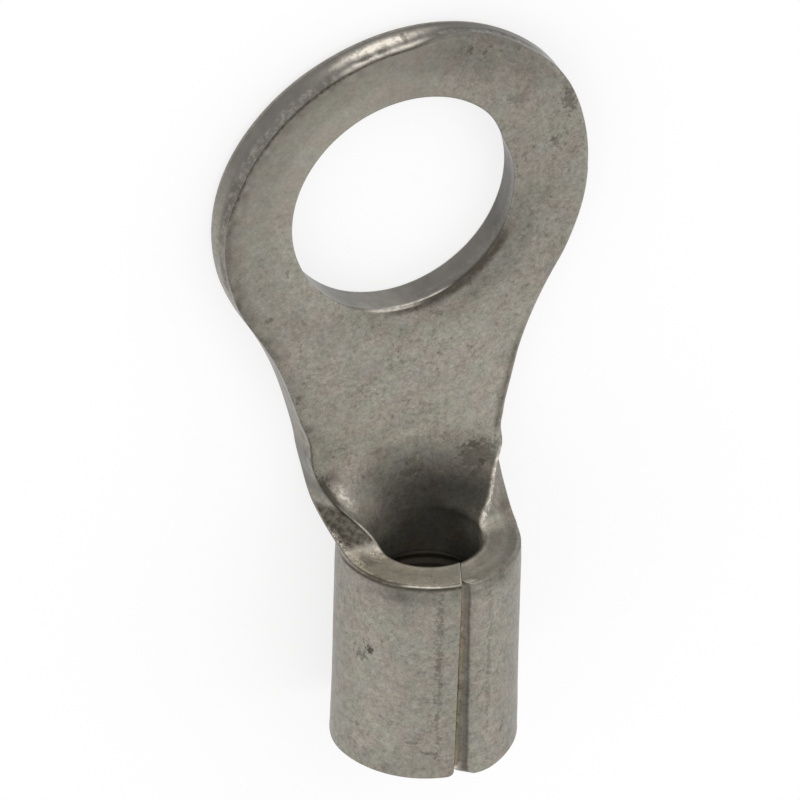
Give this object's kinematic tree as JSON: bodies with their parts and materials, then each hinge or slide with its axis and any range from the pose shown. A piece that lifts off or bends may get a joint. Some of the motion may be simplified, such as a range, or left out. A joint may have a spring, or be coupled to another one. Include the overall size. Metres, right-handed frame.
{
  "type": "ring terminal",
  "caption": "Uninsulated ring terminal: a flat ring tongue with a stud hole, rolled at its other end into a split barrel that is crimped on a wire.",
  "frame": {"origin": "centre of the stud hole, on the tongue's underside", "axes": "+Z along the stud hole, up through the tongue; +Y along the tongue, from the barrel towards the ring's tip; the wire enters the barrel at its -Y end"},
  "size_m": [0.0085, 0.0168, 0.004],
  "materials": {
    "tinned_copper": "matte tin plating on copper sheet, grey and slightly mottled"
  },
  "bodies": {
    "root": {"ring_terminal": "tinned_copper"}
  },
  "joints": []
}
